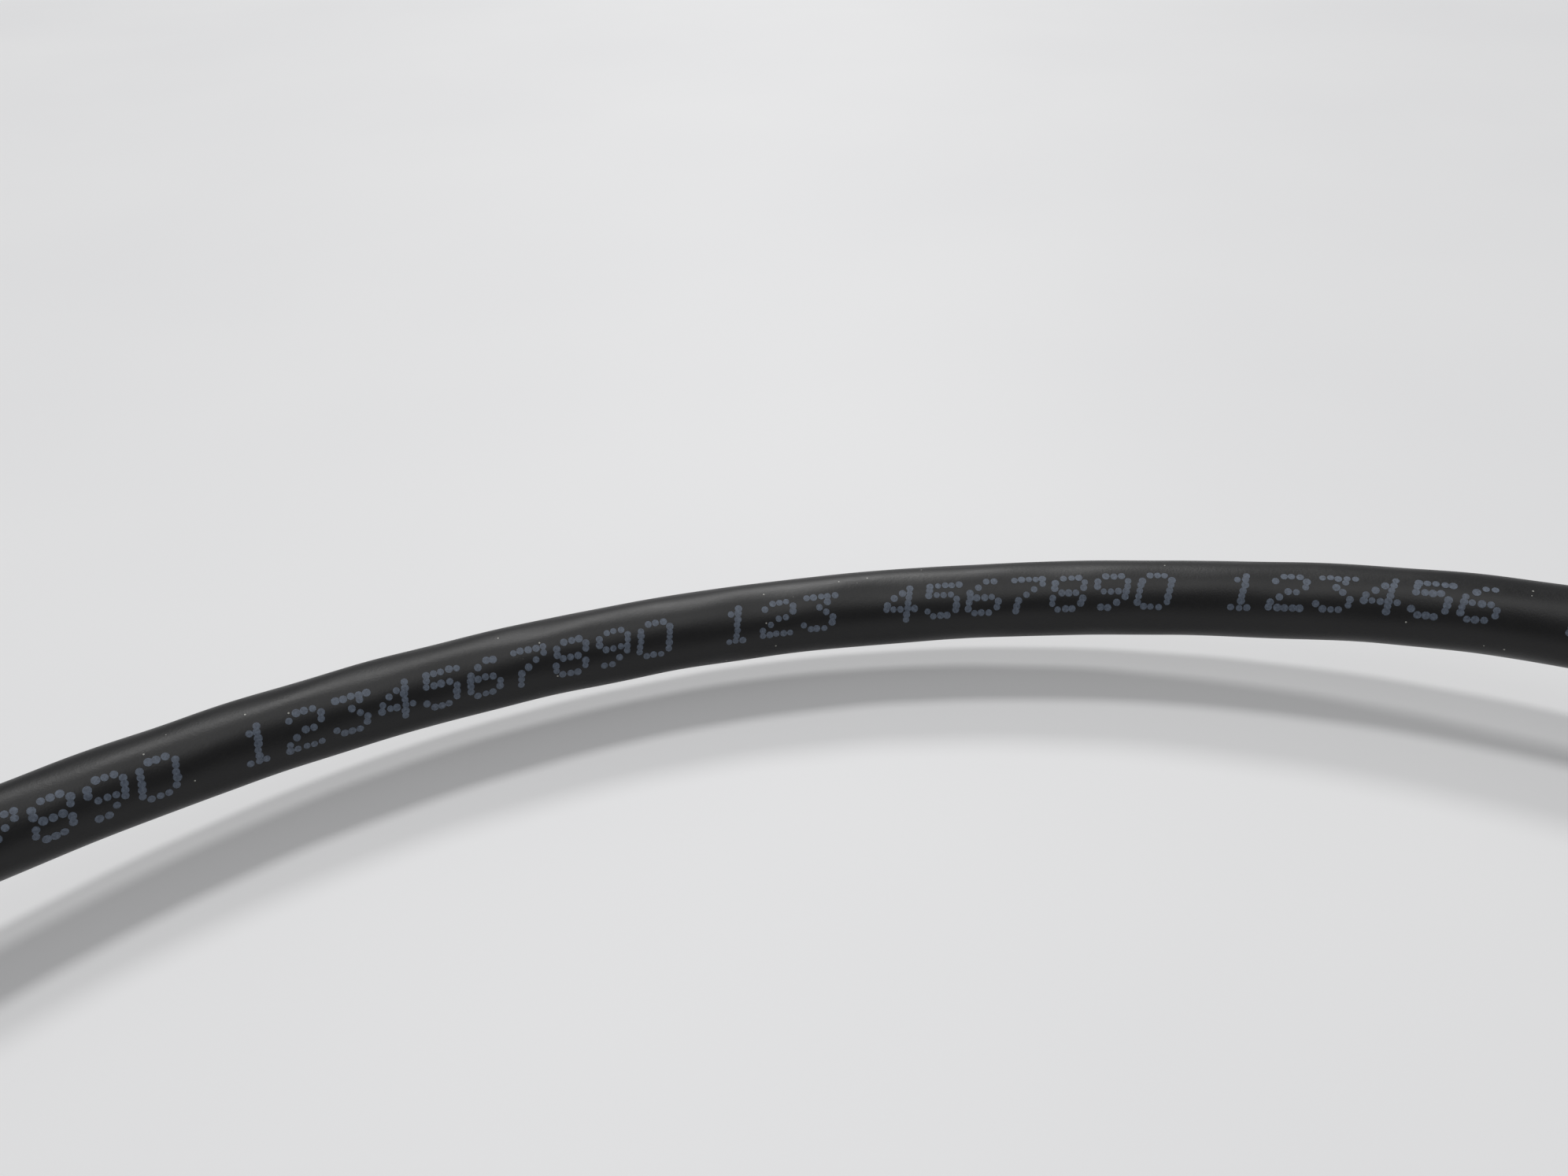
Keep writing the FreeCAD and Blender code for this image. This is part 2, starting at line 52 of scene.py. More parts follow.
ROUTE = [
    (0.007, 0.012, 0.00725),
    (0.034, 0.012, 0.00725),
    (0.0545, 0.028, 0.0058),
    (0.066, 0.060, 0.0034),
    (0.084, 0.082, 0.0028),
    (0.108, 0.0905, 0.0030),
    (0.131, 0.084, 0.0054),
    (0.157, 0.066, 0.0080),
    (0.1768, 0.040, 0.0051),
    (0.1856, 0.009, 0.0042),
    (0.1829, -0.022, 0.0048),
    (0.171, -0.050, 0.0074),
    (0.148, -0.073, 0.0074),
    (0.121, -0.086, 0.0044),
    (0.098, -0.091, 0.0029),
    (0.076, -0.080, 0.0028),
    (0.062, -0.055, 0.0034),
    (0.054, -0.027, 0.0058),
    (0.034, -0.012, 0.00725),
    (0.0064, -0.012, 0.00725),
]


class Signal:
    """An output of a node in a finish. Plain arithmetic on it adds Math nodes."""

    def __init__(self, finish, socket):
        self.finish = finish
        self.socket = socket

    def maths(self, operation, *values):
        return self.finish.node("ShaderNodeMath", {"operation": operation}, dict(enumerate(values)))

    def __add__(self, other):
        return self.maths("ADD", self, other)

    __radd__ = __add__

    def __mul__(self, other):
        return self.maths("MULTIPLY", self, other)

    __rmul__ = __mul__

    def __gt__(self, other):
        return self.maths("GREATER_THAN", self, other)

    def __lt__(self, other):
        return self.maths("LESS_THAN", self, other)


class Finish:
    """One material: a principled shader and the nodes that feed it. Lengths in it are in mm."""

    def __init__(self, name, color, roughness, **plain):
        self.material = bpy.data.materials.new(name)
        self.material.use_nodes = True
        self.tree = self.material.node_tree
        self.shader = self.tree.nodes["Principled BSDF"]
        self.shader.inputs["Base Color"].default_value = (*color, 1)
        self.shader.inputs["Roughness"].default_value = roughness
        for socket, value in plain.items():
            self.shader.inputs[socket.replace("_", " ")].default_value = value
        place = self.node("ShaderNodeTexCoord", output="Object")
        self.place = self.node("ShaderNodeVectorMath", {"operation": "SCALE"}, {0: place, "Scale": 1 / MM})

    def node(self, kind, settings=None, inputs=None, output=0):
        made = self.tree.nodes.new(kind)
        for key, value in (settings or {}).items():
            setattr(made, key, value)
        for key, value in (inputs or {}).items():
            self.feed(made.inputs[key], value)
        return Signal(self, made.outputs[output])

    def feed(self, socket, value):
        if isinstance(value, Signal):
            self.tree.links.new(value.socket, socket)
        else:
            socket.default_value = value

    def drive(self, **sockets):
        """Links signals to the shader's own sockets."""
        for name, value in sockets.items():
            self.feed(self.shader.inputs[name.replace("_", " ")], value)

    def stretched(self, along, across):
        """The place in mm, pulled out along X and across it."""
        return self.node("ShaderNodeVectorMath", {"operation": "MULTIPLY"},
                         {0: self.place, 1: (1 / along, 1 / across, 1 / across)})

    def grain(self, size, detail=2.0, roughness=0.5, place=None):
        """Noise from 0 to 1, with spots of about that size."""
        return self.node("ShaderNodeTexNoise", {}, {
            "Vector": place or self.place, "Scale": 1 / size, "Detail": detail, "Roughness": roughness})

    def ramp(self, value, low, high):
        """Nought below low, one above high."""
        return self.node("ShaderNodeMapRange", {"clamp": True},
                         {"Value": value, "From Min": low, "From Max": high})

    def blend(self, first, second, share):
        """One colour turning into another."""
        colors = {6 + i: (*c, 1) if isinstance(c, tuple) else c for i, c in enumerate((first, second))}
        return self.node("ShaderNodeMix", {"data_type": "RGBA"}, {0: share, **colors}, output=2)

    def bump(self, height, depth, strength=1.0):
        """Fine relief of that depth in mm."""
        relief = self.node("ShaderNodeBump", {},
                           {"Height": height, "Distance": depth * MM, "Strength": strength}, output="Normal")
        self.feed(self.shader.inputs["Normal"], relief)


class Line:
    """A smooth line through space, read from a spline at even steps, with its own side and up."""

    def __init__(self, points, step):
        curve = bpy.data.curves.new("cable_line", "CURVE")
        curve.dimensions = "3D"
        curve.resolution_u = 40
        spline = curve.splines.new("NURBS")
        spline.points.add(len(points) - 1)
        for knot, point in zip(spline.points, points):
            knot.co = (*point, 1)
        spline.order_u = 3
        spline.use_endpoint_u = True
        holder = bpy.data.objects.new("cable_line", curve)
        mesh = bpy.data.meshes.new_from_object(holder)
        raw = [vertex.co.copy() for vertex in mesh.vertices]
        lengths = [0.0]
        for before, after in zip(raw, raw[1:]):
            lengths.append(lengths[-1] + (after - before).length)
        length = lengths[-1]
        count = round(length / step)
        self.step = length / count
        self.points = []
        leg = 0
        for i in range(count + 1):
            wanted = min(i * self.step, length)
            while leg < len(raw) - 2 and lengths[leg + 1] < wanted:
                leg += 1
            share = (wanted - lengths[leg]) / (lengths[leg + 1] - lengths[leg])
            self.points.append(raw[leg].lerp(raw[leg + 1], share))
        bpy.data.objects.remove(holder)
        bpy.data.meshes.remove(mesh)

    def spot(self, along):
        """The line's point at a distance along it, and its ways towards the loop's inside and up."""
        share = max(0.0, min(along / self.step, len(self.points) - 1.001))
        i = int(share)
        point = self.points[i].lerp(self.points[i + 1], share - i)
        onward = (self.points[min(i + 2, len(self.points) - 1)] - self.points[max(i - 1, 0)]).normalized()
        inward = onward.cross(Vector((0, 0, 1))).normalized()
        return point, inward, inward.cross(onward)


def jacket_radius(along, around):
    """The jacket swells a little over the twisted cores and has slow, shallow dents."""
    lobes = LOBE_HEIGHT * math.cos(CORE_COUNT * (around - math.tau * along / CORE_LAY))
    spot = Vector((math.cos(around), math.sin(around), along / DENT_LENGTH))
    return JACKET_DIAMETER / 2 + lobes + DENT_HEIGHT * noise.noise(spot)


def on_jacket(line, along, around, lift=0.0):
    """A point on the jacket, or that far above it."""
    point, inward, up = line.spot(along)
    radius = jacket_radius(along, around) + lift
    return point + (inward * math.cos(around) + up * math.sin(around)) * radius


def mesh_piece(name, vertices, faces, finish, body="root", crease=math.pi):
    """A piece of the object from its points and faces. Edges sharper than the crease stay sharp."""
    mesh = bpy.data.meshes.new(name)
    mesh.from_pydata([tuple(v) for v in vertices], [], faces)
    shell = bmesh.new()
    shell.from_mesh(mesh)
    bmesh.ops.recalc_face_normals(shell, faces=shell.faces)
    shell.to_mesh(mesh)
    shell.free()
    mesh.shade_smooth()
    if crease < math.pi:
        mesh.set_sharp_from_angle(angle=crease)
    mesh.materials.append(finish.material)
    piece = bpy.data.objects.new(name, mesh)
    bpy.context.collection.objects.link(piece)
    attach(piece, body)
    return piece


def tube_faces(rings, sides, closed=False):
    """Four sided faces between rings of points, with both ends filled unless it closes on itself."""
    faces = []
    for i in range(rings if closed else rings - 1):
        here = i * sides
        there = (i + 1) % rings * sides
        for k in range(sides):
            after = (k + 1) % sides
            faces.append((here + k, here + after, there + after, there + k))
    if not closed:
        faces.append(tuple(range(sides)))
        faces.append(tuple(range((rings - 1) * sides, rings * sides)))
    return faces


jacket = Finish("jacket_black", (0.012, 0.012, 0.013), 0.42, IOR=1.4, Sheen_Weight=0.10, Sheen_Roughness=0.35)
mottle = jacket.grain(0.30, 4.0, 0.62)
cloud = jacket.grain(4.0)
speck = jacket.node("ShaderNodeTexVoronoi", {"feature": "F1"}, {"Vector": jacket.place, "Scale": 0.9})
dust = (speck < 0.05) * (jacket.grain(7.0) > 0.52)
tone = jacket.blend((0.0042, 0.0042, 0.0048), (0.0105, 0.0105, 0.011), mottle * 0.6 + cloud * 0.4)
jacket.drive(Base_Color=jacket.blend(tone, (0.36, 0.36, 0.33), dust),
             Roughness=0.34 + 0.10 * cloud + 0.10 * mottle)
jacket.bump(jacket.grain(0.13, 3.0, 0.6) + 0.7 * jacket.grain(0.5), 0.014, 0.7)

cable_line = Line(ROUTE, RING_STEP)
rings = len(cable_line.points)
skin = [on_jacket(cable_line, i * cable_line.step, math.tau * k / JACKET_SIDES)
        for i in range(rings) for k in range(JACKET_SIDES)]
cable = mesh_piece("cable_jacket", skin, tube_faces(rings, JACKET_SIDES), jacket)
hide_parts("cable")


# Print
# A line of plain figures that an ink jet sprays on the moving jacket: round drops of blue grey
# ink, seven to a figure's height, that run together up and down and lean a little.
INK_PITCH_ALONG = 0.50 * MM
INK_PITCH_ROUND = 0.365 * MM
INK_DOT = 0.50 * MM
INK_DOT_SPREAD = (0.86, 1.08)
INK_LIFT = 0.008 * MM
INK_DOME = 1.6
INK_SIDES = 10
SPRAY_SCATTER = 0.02 * MM
SPRAY_SCATTER_ALONG = 0.025 * MM
FIGURE_PITCH = 2.92 * MM
FIGURE_LEAN = 0.22
FIGURE_MIDDLE_ROW = 3
FIGURES = "1234567890 123 4567890 123456 7890 "
FIRST_FIGURE = 5
PRINT_START = 36.9 * MM
PRINT_END = 508 * MM
PRINT_DEGREES = 40
PRINT_WANDERS = ((8, 23 * MM, 1.0), (4, 47 * MM, 0.0))
DOT_ROWS = {
    "0": ("01110", "10001", "10001", "10001", "10001", "10001", "01110"),
    "1": ("00100", "01100", "00100", "00100", "00100", "00100", "01110"),
    "2": ("01110", "10001", "00001", "00110", "01000", "10000", "11111"),
    "3": ("11111", "00010", "00100", "00010", "00001", "10001", "01110"),
    "4": ("00010", "00110", "01010", "10010", "11111", "00010", "00010"),
    "5": ("11111", "10000", "11110", "00001", "00001", "10001", "01110"),
    "6": ("00110", "01000", "10000", "11110", "10001", "10001", "01110"),
    "7": ("11111", "00001", "00010", "00100", "01000", "01000", "01000"),
    "8": ("01110", "10001", "10001", "01110", "10001", "10001", "01110"),
    "9": ("01110", "10001", "10001", "01111", "00001", "00010", "01100"),
}


def print_turn(along):
    """The print wanders round the jacket, because the cable is a little twisted."""
    degrees = PRINT_DEGREES
    for swing, length, phase in PRINT_WANDERS:
        degrees += swing * math.sin(along / length + phase)
    return math.radians(degrees)


ink = Finish("ink_blue_grey", (0.075, 0.09, 0.12), 0.5)
cover = ink.grain(0.16, 3.0, 0.7)
ink.drive(Base_Color=ink.blend((0.042, 0.053, 0.076), (0.115, 0.142, 0.188), ink.ramp(cover, 0.3, 0.7)),
          Roughness=0.42 + 0.2 * cover)
ink.bump(cover, 0.006, 0.5)

spray = random.Random(7)
drops = []
drop_faces = []
start = PRINT_START
number = FIRST_FIGURE
while start < PRINT_END:
    for row, dots in enumerate(DOT_ROWS.get(FIGURES[number % len(FIGURES)], ())):
        height = (FIGURE_MIDDLE_ROW - row) * INK_PITCH_ROUND + spray.gauss(0, SPRAY_SCATTER)
        for column, dot in enumerate(dots):
            if dot == "0":
                continue
            along = start + column * INK_PITCH_ALONG + height * FIGURE_LEAN
            along += spray.gauss(0, SPRAY_SCATTER_ALONG)
            around = print_turn(start) + (height + spray.gauss(0, SPRAY_SCATTER)) / (JACKET_DIAMETER / 2)
            size = INK_DOT / 2 * spray.uniform(*INK_DOT_SPREAD)
            first = len(drops)
            drops.append(on_jacket(cable_line, along, around, INK_LIFT * INK_DOME))
            for k in range(INK_SIDES):
                turn = math.tau * k / INK_SIDES
                sideways = size * math.sin(turn) / (JACKET_DIAMETER / 2)
                onward = size * math.cos(turn)
                drops.append(on_jacket(cable_line, along + onward, around + sideways, INK_LIFT))
                drop_faces.append((first, first + 1 + k, first + 1 + (k + 1) % INK_SIDES))
    start += FIGURE_PITCH
    number += 1
figures = mesh_piece("cable_print", drops, drop_faces, ink)


# Cores and wires
# Five stranded copper wires in smooth coloured insulation. They spread from the cable's bundle
# to the contacts inside each connector and are crimped there.
def dress(finish, *nodes):
    """Gives CAD nodes a finish."""
    for node in nodes:
        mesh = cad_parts[node].data
        mesh.materials.clear()
        mesh.materials.append(finish.material)


CORE_COLORS = {
    "brown": (0.13, 0.05, 0.02),
    "white": (0.78, 0.77, 0.73),
    "blue": (0.02, 0.08, 0.32),
    "black": (0.012, 0.012, 0.012),
    "grey": (0.24, 0.25, 0.26),
}
copper = Finish("wire_copper", (0.80, 0.38, 0.22), 0.3, Metallic=1.0)
strands = copper.node("ShaderNodeTexWave", {"wave_type": "BANDS", "bands_direction": "Y"},
                      {"Vector": copper.place, "Scale": 1.6, "Distortion": 0.6})
copper.drive(Base_Color=copper.blend((0.62, 0.26, 0.14), (0.86, 0.44, 0.27), strands))
copper.bump(strands, 0.05)
for number, (color_name, color) in enumerate(CORE_COLORS.items(), start=1):
    insulation = Finish("core_" + color_name, color, 0.38)
    flow = insulation.grain(0.7, 3.0, place=insulation.stretched(6.0, 0.5))
    paler = tuple(min(1.0, c * 1.12 + 0.01) for c in color)
    insulation.drive(Base_Color=insulation.blend(color, paler, flow), Roughness=0.32 + 0.14 * flow)
    insulation.bump(flow, 0.01)
    for end in ("socket", "plug"):
        dress(insulation, f"{end}_core_{number}")
        dress(copper, f"{end}_wire_{number}")


# Contacts
# Ten turned brass contacts, gold over nickel: sleeves in the socket and pins with rounded tips
# in the plug. Each sits in its own hole in the carrier, with a crimp barrel behind.
gold = Finish("contact_gold", (0.83, 0.58, 0.22), 0.22, Metallic=1.0)
tool_marks = gold.grain(0.5, 2.0, place=gold.stretched(0.05, 2.0))
rub = gold.grain(0.8, 4.0)
gold.drive(Base_Color=gold.blend((0.80, 0.53, 0.18), (0.90, 0.68, 0.32), rub),
           Roughness=0.16 + 0.12 * tool_marks + 0.10 * rub)
gold.bump(tool_marks, 0.006)
dress(gold, *[f"socket_contact_{i}" for i in range(1, 6)], *[f"plug_pin_{i}" for i in range(1, 6)])


# Contact carriers
# Moulded in glass filled black nylon: a nose with a keyway and five entries in the socket, and
# a shroud with a key in the plug. Tiny raised figures number the contacts.
AXIS_HEIGHT = 7.25 * MM
SOCKET_FACE = Vector((-22 * MM, 12 * MM, AXIS_HEIGHT))
PLUG_FACE = Vector((-24 * MM, -12 * MM, AXIS_HEIGHT))
SHROUD_DEPTH = 8.5 * MM
CONTACT_ANGLES = (135, 45, 315, 225)
NUMBER_CIRCLE = 1.28 * MM
NUMBER_SIZE = 0.8 * MM
NUMBER_HEIGHT = 0.04 * MM

nylon = Finish("carrier_plastic", (0.022, 0.022, 0.024), 0.38)
fibre = nylon.grain(0.25, 3.0, 0.6)
flow = nylon.grain(2.5, 2.0)
nylon.drive(Base_Color=nylon.blend((0.016, 0.016, 0.018), (0.034, 0.034, 0.036), fibre * 0.5 + flow * 0.5),
            Roughness=0.30 + 0.16 * fibre)
nylon.bump(fibre, 0.01, 0.6)
dress(nylon, "socket_insert", "plug_insert")


def contact_number(name, digit, face, across, up, height):
    """A raised figure on a carrier, read from the mating side."""
    letter = bpy.data.curves.new(name, "FONT")
    letter.body = digit
    letter.size = height
    letter.extrude = NUMBER_HEIGHT / 2
    letter.align_x = "CENTER"
    letter.align_y = "CENTER"
    holder = bpy.data.objects.new(name, letter)
    mesh = bpy.data.meshes.new_from_object(holder)
    bpy.data.objects.remove(holder)
    faced = Matrix(((0, 0, -1), (-1, 0, 0), (0, 1, 0))).to_4x4()
    mesh.transform(Matrix.Translation(face + Vector((0, across, up))) @ faced)
    mesh.materials.clear()
    mesh.materials.append(nylon.material)
    piece = bpy.data.objects.new(name, mesh)
    bpy.context.collection.objects.link(piece)
    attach(piece, "root")


for end, face, floor, hand in (("socket", SOCKET_FACE, 0.0, -1), ("plug", PLUG_FACE, SHROUD_DEPTH, 1)):
    for number, angle in enumerate(CONTACT_ANGLES, start=1):
        turn = math.radians(angle)
        contact_number(f"{end}_figure_{number}", str(number), face + Vector((floor, 0, 0)),
                       hand * NUMBER_CIRCLE * math.cos(turn), NUMBER_CIRCLE * math.sin(turn), NUMBER_SIZE)


# Seal ring
# A round ring of dark green fluororubber on the socket's nose, against the flange. The plug's
# rim presses on it.
rubber = Finish("seal_rubber", (0.03, 0.10, 0.045), 0.42)
bloom = rubber.grain(0.6, 4.0)
rubber.drive(Base_Color=rubber.blend((0.022, 0.085, 0.036), (0.05, 0.13, 0.065), bloom),
             Roughness=0.34 + 0.16 * bloom)
rubber.bump(rubber.grain(0.12, 2.0), 0.008)
dress(rubber, "socket_seal_ring")


# Inner moulds
# Hard blocks moulded first round the crimp barrels and spread cores, hidden in the overmoulds.
pre_mould = Finish("core_mould", (0.05, 0.05, 0.055), 0.5)
swirl = pre_mould.grain(1.4, 4.0)
pre_mould.drive(Base_Color=pre_mould.blend((0.038, 0.038, 0.042), (0.075, 0.075, 0.08), swirl),
                Roughness=0.42 + 0.16 * swirl)
pre_mould.bump(pre_mould.grain(0.2, 3.0), 0.015)
dress(pre_mould, "socket_inner_mould", "plug_inner_mould")


# Overmoulds
# Soft black polyurethane shot round the carrier's stem, the inner mould and the jacket: a grip
# with eight flutes and a key mark, then a strain relief with slots that let it bend.
MOULDS = {
    "socket": (SOCKET_FACE, 13.8 * MM, 44 * MM),
    "plug": (PLUG_FACE, 15.2 * MM, 48 * MM),
}
STEM_GRIPPED = 2.2 * MM
CORES_LENGTH = 13.0 * MM
JACKET_GRIPPED = 2.0 * MM
SHOULDER_LENGTH = 2.6 * MM
MOULD_RADIUS = 6.3 * MM
STEM_RADIUS = 4.52 * MM
INNER_RADIUS = 4.32 * MM
JACKET_HOLE = 2.62 * MM
RELIEF_ROOT = 4.7 * MM
RELIEF_TIP = 3.6 * MM
SPINE_REACH = 3.05 * MM
SLOT_COUNT = 4
SLOT_WIDTH = 1.15 * MM
SLOT_PITCH = 2.4 * MM
SLOT_EDGE = 0.07 * MM
FLUTES = 8
FLUTE_TOOL = 1.8 * MM
FLUTE_CUT = 0.55 * MM
FLUTE_FRONT = 2.6 * MM
FLUTE_REAR = 0.8 * MM
FLUTE_END = 0.35 * MM
MARK_FRONT = 0.7 * MM
MARK_LENGTH = 4.5 * MM
MARK_WIDTH = 1.2 * MM
MARK_HEIGHT = 0.35 * MM
MARK_EDGE = 0.12 * MM
PARTING_HEIGHT = 0.03 * MM
PARTING_WIDTH = 0.3 * MM
RELIEF_BORE_LIMIT = 3.0 * MM
GRIP_BORE_LIMIT = 4.6 * MM
MOULD_SIDES = 160
MOULD_CREASE = 0.8


def rounded_outline(corners, steps=5):
    """Corners (depth, radius, rounding, step of the run that follows) as a dense closed outline."""
    points = []
    count = len(corners)
    places = [Vector(corner[:2]) for corner in corners]
    for i, (_, _, rounding, step) in enumerate(corners):
        here = places[i]
        back = places[i - 1] - here
        onward = places[(i + 1) % count] - here
        if rounding:
            arrive = here + back.normalized() * rounding
            leave = here + onward.normalized() * rounding
            for j in range(steps + 1):
                share = j / steps
                points.append(arrive.lerp(here, share).lerp(here.lerp(leave, share), share))
        else:
            leave = here
            points.append(here)
        target = places[(i + 1) % count] - onward.normalized() * corners[(i + 1) % count][2]
        pieces = math.ceil((target - leave).length / step)
        points += [leave.lerp(target, j / pieces) for j in range(1, pieces)]
    return points


def turned_piece(name, face, corners, sides, finish, shape, crease, body="root"):
    """An outline in depth and radius, swept about the connector's axis and shaped round it."""
    outline = rounded_outline(corners)
    vertices = []
    for depth, radius in outline:
        for k in range(sides):
            angle = math.tau * k / sides
            reach = shape(depth, angle, radius)
            vertices.append(face + Vector((depth, reach * math.cos(angle), reach * math.sin(angle))))
    faces = tube_faces(len(outline), sides, closed=True)
    return mesh_piece(name, vertices, faces, finish, body, crease)


def ease(value, low, high):
    """Nought at low and one at high, smooth at both."""
    share = max(0.0, min(1.0, (value - low) / (high - low)))
    return share * share * (3 - 2 * share)


def inside(value, low, high, edge):
    """One between low and high, falling to nought over the edge."""
    return ease(value, low - edge, low + edge) * (1 - ease(value, high - edge, high + edge))


def flute_reach(angle, count, outside, tool, cut, offset):
    """How far out the piece reaches beside a round flute that runs along it."""
    period = math.tau / count
    away = (angle - offset + period / 2) % period - period / 2
    centre = outside + tool - cut
    across = centre * math.sin(away)
    if abs(across) >= tool:
        return outside
    return min(outside, centre * math.cos(away) - math.sqrt(tool * tool - across * across))


soft = Finish("overmould_black", (0.018, 0.018, 0.019), 0.55)
spark = soft.grain(0.11, 2.0, 0.6)
sheen = soft.grain(3.0, 2.0)
speck = soft.node("ShaderNodeTexVoronoi", {"feature": "F1"}, {"Vector": soft.place, "Scale": 0.8})
dust = (speck < 0.05) * (soft.grain(5.0) > 0.52)
tone = soft.blend((0.012, 0.012, 0.013), (0.026, 0.026, 0.027), 0.5 * spark + 0.5 * sheen)
soft.drive(Base_Color=soft.blend(tone, (0.30, 0.30, 0.28), dust),
           Roughness=0.44 + 0.12 * sheen + 0.10 * spark)
soft.bump(spark, 0.02, 0.9)

for end, (face, mould_front, length) in MOULDS.items():
    stem_rear = mould_front + STEM_GRIPPED
    jacket_end = stem_rear + CORES_LENGTH
    inner_rear = jacket_end + JACKET_GRIPPED
    relief_root = jacket_end + SHOULDER_LENGTH
    first_slot = relief_root + SLOT_WIDTH
    mark_front = mould_front + MARK_FRONT

    def moulded(depth, angle, radius):
        """The overmould's outside: flutes, key mark and parting line, then slots that leave spines."""
        if radius < RELIEF_BORE_LIMIT or radius < GRIP_BORE_LIMIT and depth < inner_rear + 0.1 * MM:
            return radius
        reach = radius
        grip = inside(depth, mould_front + FLUTE_FRONT, jacket_end - FLUTE_REAR, FLUTE_END)
        if grip > 0:
            offset = math.pi / 2 + math.pi / FLUTES
            fluted = flute_reach(angle, FLUTES, MOULD_RADIUS, FLUTE_TOOL, FLUTE_CUT, offset)
            reach = min(reach, reach * (1 - grip) + fluted * grip)
        for slot_number in range(SLOT_COUNT):
            slot_start = first_slot + slot_number * SLOT_PITCH
            cut = inside(depth, slot_start, slot_start + SLOT_WIDTH, SLOT_EDGE)
            if cut > 0:
                lean = abs(math.cos(angle)) if slot_number % 2 == 0 else abs(math.sin(angle))
                spine = min(reach, SPINE_REACH / max(lean, 0.01))
                reach = reach * (1 - cut) + spine * cut
        mark = inside(depth, mark_front, mark_front + MARK_LENGTH, MARK_EDGE)
        across = MOULD_RADIUS * abs(angle - math.pi / 2)
        beside = ease(across, MARK_WIDTH / 2 - MARK_EDGE, MARK_WIDTH / 2 + MARK_EDGE)
        reach += MARK_HEIGHT * mark * (1 - beside)
        from_parting = min(angle % math.pi, math.pi - angle % math.pi) * radius
        return reach + PARTING_HEIGHT * (1 - ease(from_parting, 0.0, PARTING_WIDTH))

    overmould = turned_piece(f"{end}_grip", face, [
        (mould_front, STEM_RADIUS, 0, 0.5 * MM),
        (mould_front, MOULD_RADIUS, 0.6 * MM, 0.2 * MM),
        (jacket_end, MOULD_RADIUS, 1.1 * MM, 0.15 * MM),
        (relief_root, RELIEF_ROOT, 0.8 * MM, 0.08 * MM),
        (length, RELIEF_TIP, 0.35 * MM, 0.2 * MM),
        (length, JACKET_HOLE, 0, 1.0 * MM),
        (inner_rear, JACKET_HOLE, 0, 1.0 * MM),
        (inner_rear, INNER_RADIUS, 0, 1.0 * MM),
        (stem_rear, INNER_RADIUS, 0, 1.0 * MM),
        (stem_rear, STEM_RADIUS, 0, 1.0 * MM)],
        MOULD_SIDES, soft, moulded, MOULD_CREASE)
    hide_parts(f"{end}_overmould")


# Coupling nut
# Turned from nickel plated brass, with 24 knurl flutes outside and an M12x1 thread inside. Its
# inner collar runs on the carrier's stem, so that it turns freely.
RING_RADIUS = 7.25 * MM
RING_CHAMFER = 0.6 * MM
KNURLS = 24
KNURL_TOOL = 0.6 * MM
KNURL_CUT = 0.35 * MM
THREAD_PITCH = 1.0 * MM
GROOVE_HALF = 0.375      # of the pitch
FLANK = 0.3125           # of the pitch
THREAD_CUT = 0.55 * MM
THREAD_BORE = 5.45 * MM
THREAD_FADE = (8.2 * MM, 8.8 * MM)
COLLAR_BORE = 4.58 * MM
COLLAR_LENGTH = 2.4 * MM
NUT_FRONT = 0.5 * MM
NUT_REAR = 13.3 * MM
NUT_MOUTH = 5.95 * MM
NUT_MOUTH_DEPTH = 1.0 * MM
NUT_WALL_MIDDLE = 6.1 * MM
THREAD_STEP = 0.07 * MM
RING_SIDES = 240
RING_CREASE = 0.5

nickel = Finish("nickel_ring", (0.66, 0.63, 0.58), 0.26, Metallic=1.0)
lathe_marks = nickel.grain(0.6, 2.0, place=nickel.stretched(0.06, 3.0))
smudge = nickel.grain(2.6, 4.0, 0.6)
nickel.drive(Base_Color=nickel.blend((0.60, 0.57, 0.52), (0.72, 0.695, 0.65), smudge),
             Roughness=0.17 + 0.12 * lathe_marks + 0.16 * smudge)
nickel.bump(lathe_marks + 0.4 * nickel.grain(0.1, 2.0), 0.008)


def thread_share(depth, angle):
    """How deep a right hand thread's groove is here, from nought on the crest to one in the root."""
    phase = (depth / THREAD_PITCH - angle / math.tau) % 1.0
    return max(0.0, min(1.0, (GROOVE_HALF - abs(phase - 0.5)) / FLANK))


def knurled(angle, radius):
    """A ring's outside with its knurl flutes."""
    return min(radius, flute_reach(angle, KNURLS, RING_RADIUS, KNURL_TOOL, KNURL_CUT, math.pi / KNURLS))


def ring_outline(front, rear):
    """What both rings share: a grip with chamfered, rounded ends, and the bore of the collar behind."""
    return [
        (front, RING_RADIUS - RING_CHAMFER, 0.12 * MM, 0.1 * MM),
        (front + RING_CHAMFER, RING_RADIUS, 0.15 * MM, 0.5 * MM),
        (rear - RING_CHAMFER, RING_RADIUS, 0.15 * MM, 0.1 * MM),
        (rear, RING_RADIUS - RING_CHAMFER, 0.12 * MM, 0.3 * MM),
        (rear, COLLAR_BORE, 0.1 * MM, 0.6 * MM),
        (rear - COLLAR_LENGTH, COLLAR_BORE, 0, 0.6 * MM),
    ]


def nut_shape(depth, angle, radius):
    """Knurled outside, threaded inside, with the thread fading out before the collar."""
    if radius > NUT_WALL_MIDDLE:
        return knurled(angle, radius)
    if radius < THREAD_BORE - 0.01 * MM or depth > THREAD_FADE[1]:
        return radius
    fade = 1 - ease(depth, *THREAD_FADE)
    return max(radius, THREAD_BORE + THREAD_CUT * thread_share(depth, angle) * fade)


